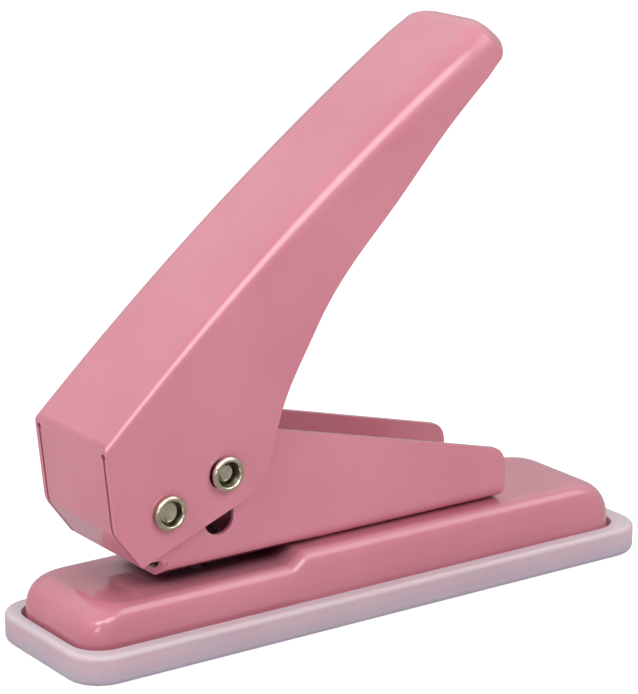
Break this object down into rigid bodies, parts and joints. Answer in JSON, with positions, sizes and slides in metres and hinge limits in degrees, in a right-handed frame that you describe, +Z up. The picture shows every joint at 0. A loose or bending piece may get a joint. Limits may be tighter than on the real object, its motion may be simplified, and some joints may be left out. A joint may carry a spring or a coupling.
{
  "type": "single hole punch",
  "caption": "Desk hole punch in pink enamelled pressed steel: a hinged channel lever drives a sprung round punch through a bracket over a low base, with a milky pull-off chip tray.",
  "frame": {"origin": "on the resting plane, under the middle of the chip tray", "axes": "+X runs along the base from the paper end towards the lever's free end, +Y is across it, +Z is up"},
  "size_m": [0.126, 0.0338, 0.1061],
  "materials": {
    "pink_enamel": "glossy baked enamel on pressed steel, softly rounded at every edge",
    "nickel_plate": "warm bright nickel plate on riveted steel",
    "hard_steel": "ground hardened steel, lightly oiled",
    "spring_steel": "drawn music wire, dull",
    "milky_plastic": "milky translucent moulded plastic with a faint lilac tint"
  },
  "bodies": {
    "base_body": {"base_shell": "pink_enamel", "die_plate": "hard_steel", "punch_bracket": "pink_enamel", "bracket_rivet_front": "nickel_plate", "bracket_rivet_rear": "nickel_plate", "pivot_rivet": "nickel_plate", "pivot_spacer": "hard_steel", "pivot_washer_near": "hard_steel", "pivot_washer_far": "hard_steel", "return_spring": "spring_steel"},
    "lever_body": {"lever": "pink_enamel"},
    "punch_body": {"punch_pin": "hard_steel", "cross_pin": "nickel_plate", "spring_washer": "hard_steel"},
    "tray_body": {"chip_tray": "milky_plastic"}
  },
  "joints": [
    {"name": "lever_hinge", "type": "hinge", "parent": "base_body", "child": "lever_body", "pos_m": [-0.0432, 0, 0.0275], "axis": [0, 1, 0], "range_deg": [0, 40], "stiffness_Nm_per_rad": 0.24, "springref_deg": -17.19},
    {"name": "punch_travel", "type": "slide", "parent": "base_body", "child": "punch_body", "axis": [0, 0, -1], "range_m": [0, 0.00835], "deforming": ["return_spring"]},
    {"name": "tray_pull", "type": "slide", "parent": "base_body", "child": "tray_body", "axis": [0, 0, -1], "range_m": [0, 0.012]}
  ],
  "couplings": [
    {"joint": "punch_travel", "follows": "lever_hinge", "m_per_rad": 0.011956}
  ]
}
